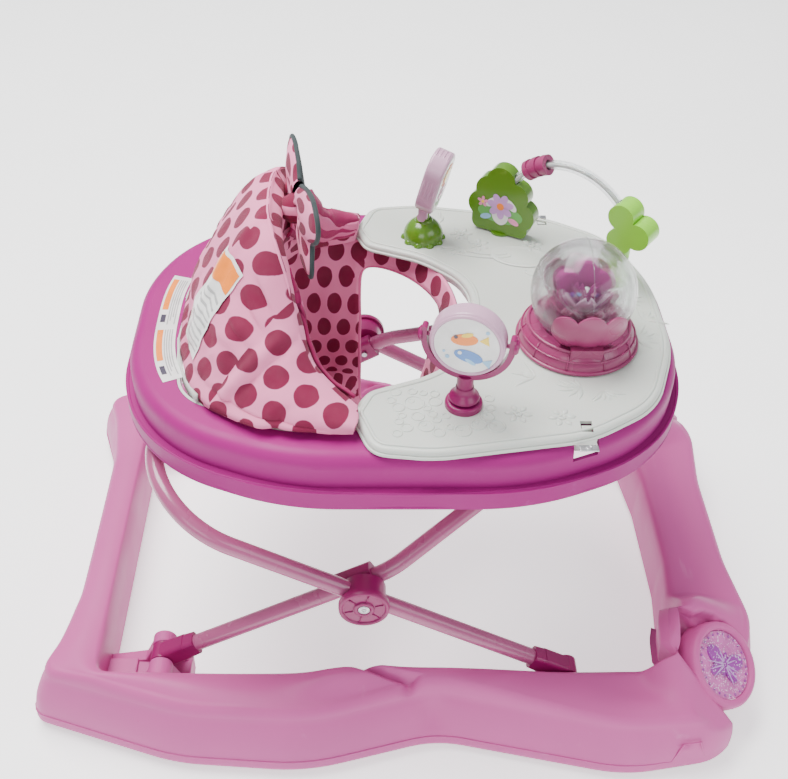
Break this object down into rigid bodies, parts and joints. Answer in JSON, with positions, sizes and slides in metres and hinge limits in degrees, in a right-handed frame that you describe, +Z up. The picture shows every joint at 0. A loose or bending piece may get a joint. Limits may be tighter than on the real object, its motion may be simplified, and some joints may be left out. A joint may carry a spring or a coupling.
{
  "type": "baby walker",
  "caption": "Baby walker with a floor ring on wheels and casters, folding crossed-tube frame, oval deck, fabric seat and a clip-on tray of movable toys.",
  "frame": {"origin": "on the floor, under the middle of the floor ring", "axes": "+X to the front, the way the baby faces; +Y to the baby's left; +Z up"},
  "size_m": [0.7142, 0.5408, 0.5],
  "materials": {
    "pink_plastic": "satin",
    "magenta_plastic": "gloss",
    "hub_magenta": "gloss",
    "pink_paint": "gloss",
    "white_plastic": "satin",
    "dotted_fabric": "woven",
    "dark_fabric": "woven",
    "green_plastic": "gloss",
    "rose_plastic": "gloss",
    "pale_pink_plastic": "gloss",
    "clear_plastic": "clear gloss",
    "badge_glitter": "glitter",
    "badge_violet": "glitter",
    "rubber": "matte",
    "steel": "bright"
  },
  "bodies": {
    "base": {"base_ring": "pink_plastic", "friction_pads": "rubber", "badge_disc_left": "badge_glitter", "badge_disc_right": "badge_glitter", "badge_butterfly_left": "badge_violet", "badge_butterfly_right": "badge_violet", "rear_axle_left": "steel", "rear_axle_right": "steel", "foot_pin_left": "steel", "foot_pin_right": "steel"},
    "inner_frame": {"inner_tube": "pink_paint", "hub_clip_left": "hub_magenta", "hub_clip_right": "hub_magenta", "foot_cap_left": "hub_magenta", "foot_cap_right": "hub_magenta"},
    "outer_frame": {"outer_tube": "pink_paint", "hub_cap_left": "hub_magenta", "hub_cap_right": "hub_magenta", "hub_screw_left": "steel", "hub_screw_right": "steel", "shoe_left": "hub_magenta", "shoe_right": "hub_magenta"},
    "deck": {"deck_ring": "magenta_plastic", "release_guide": "white_plastic", "seat_hoop": "white_plastic", "seat_sling": "dotted_fabric", "seat_back": "dotted_fabric", "seat_wings": "dotted_fabric", "butterfly_flap": "dotted_fabric", "deck_hinge_left": "pink_plastic", "deck_hinge_right": "pink_plastic", "deck_track_left": "pink_plastic", "deck_track_right": "pink_plastic"},
    "release": {"height_release": "magenta_plastic"},
    "tray": {"toy_tray": "white_plastic", "paddle_foot": "green_plastic", "bead_plaque": "green_plastic", "arch_tube": "clear_plastic", "clover_post": "green_plastic", "globe_pedestal": "rose_plastic", "yoke_foot": "hub_magenta", "globe_cheek_left": "rose_plastic", "globe_cheek_right": "rose_plastic"},
    "paddle": {"paddle": "pale_pink_plastic"},
    "bead": {"sliding_bead": "rose_plastic"},
    "globe": {"globe_shell": "clear_plastic", "globe_flower": "magenta_plastic"},
    "yoke": {"yoke": "hub_magenta"},
    "disc": {"spinner_disc": "pale_pink_plastic"},
    "caster_left": {"caster_fork_left": "hub_magenta", "caster_axle_left": "steel"},
    "caster_wheels_left": {"caster_wheels_left": "hub_magenta"},
    "rear_wheel_left": {"rear_wheel_left": "hub_magenta"},
    "latch_left": {"tray_latch_left": "white_plastic"},
    "caster_right": {"caster_fork_right": "hub_magenta", "caster_axle_right": "steel"},
    "caster_wheels_right": {"caster_wheels_right": "hub_magenta"},
    "rear_wheel_right": {"rear_wheel_right": "hub_magenta"},
    "latch_right": {"tray_latch_right": "white_plastic"}
  },
  "joints": [
    {"name": "fold", "type": "hinge", "parent": "base", "child": "inner_frame", "pos_m": [-0.23207, 0, 0.06], "axis": [0, 1, 0], "range_deg": [-4, 16]},
    {"name": "cross", "type": "hinge", "parent": "inner_frame", "child": "outer_frame", "pos_m": [-0.036, 0, 0.1732], "axis": [0, 1, 0], "range_deg": [-32, 8]},
    {"name": "deck_level", "type": "hinge", "parent": "outer_frame", "child": "deck", "pos_m": [-0.2222, 0, 0.2807], "axis": [0, 1, 0], "range_deg": [-4, 16]},
    {"name": "height_release_press", "type": "slide", "parent": "deck", "child": "release", "axis": [0, 0, 1], "range_m": [0, 0.006], "stiffness_N_per_m": 400},
    {"name": "tray_lift", "type": "slide", "parent": "deck", "child": "tray", "axis": [0, 0, 1], "range_m": [0, 0.03]},
    {"name": "paddle_rock", "type": "hinge", "parent": "tray", "child": "paddle", "pos_m": [0.023, 0.126, 0.38], "axis": [0.3746, 0.9272, 0], "range_deg": [-25, 25]},
    {"name": "bead_slide", "type": "hinge", "parent": "tray", "child": "bead", "pos_m": [0.16093, 0.09221, 0.37756], "axis": [-0.6201, -0.7845, 0], "range_deg": [-55, 0]},
    {"name": "globe_spin", "type": "hinge", "parent": "tray", "child": "globe", "pos_m": [0.155, -0.04, 0.405], "axis": [0, 1, 0], "continuous": true},
    {"name": "yoke_swivel", "type": "hinge", "parent": "tray", "child": "yoke", "pos_m": [0.047, -0.13, 0.37], "axis": [0, 0, 1], "continuous": true},
    {"name": "disc_spin", "type": "hinge", "parent": "yoke", "child": "disc", "pos_m": [0.047, -0.13, 0.421], "axis": [0.9673, -0.2538, 0], "continuous": true},
    {"name": "caster_swivel_left", "type": "hinge", "parent": "base", "child": "caster_left", "pos_m": [0.262, 0.226, 0.05], "axis": [0, 0, 1], "continuous": true},
    {"name": "caster_roll_left", "type": "hinge", "parent": "caster_left", "child": "caster_wheels_left", "pos_m": [0.262, 0.24, 0.017], "axis": [1, 0, 0], "continuous": true},
    {"name": "rear_roll_left", "type": "hinge", "parent": "base", "child": "rear_wheel_left", "pos_m": [-0.313, 0.185, 0.017], "axis": [0, 1, 0], "continuous": true},
    {"name": "latch_press_left", "type": "slide", "parent": "tray", "child": "latch_left", "axis": [0, -1, 0], "range_m": [0, 0.0025], "stiffness_N_per_m": 500},
    {"name": "caster_swivel_right", "type": "hinge", "parent": "base", "child": "caster_right", "pos_m": [0.262, -0.226, 0.05], "axis": [0, 0, 1], "continuous": true},
    {"name": "caster_roll_right", "type": "hinge", "parent": "caster_right", "child": "caster_wheels_right", "pos_m": [0.262, -0.24, 0.017], "axis": [1, 0, 0], "continuous": true},
    {"name": "rear_roll_right", "type": "hinge", "parent": "base", "child": "rear_wheel_right", "pos_m": [-0.313, -0.185, 0.017], "axis": [0, 1, 0], "continuous": true},
    {"name": "latch_press_right", "type": "slide", "parent": "tray", "child": "latch_right", "axis": [0, 1, 0], "range_m": [0, 0.0025], "stiffness_N_per_m": 500}
  ],
  "couplings": [
    {"joint": "cross", "follows": "fold", "ratio": -2},
    {"joint": "deck_level", "follows": "fold", "ratio": 1}
  ]
}
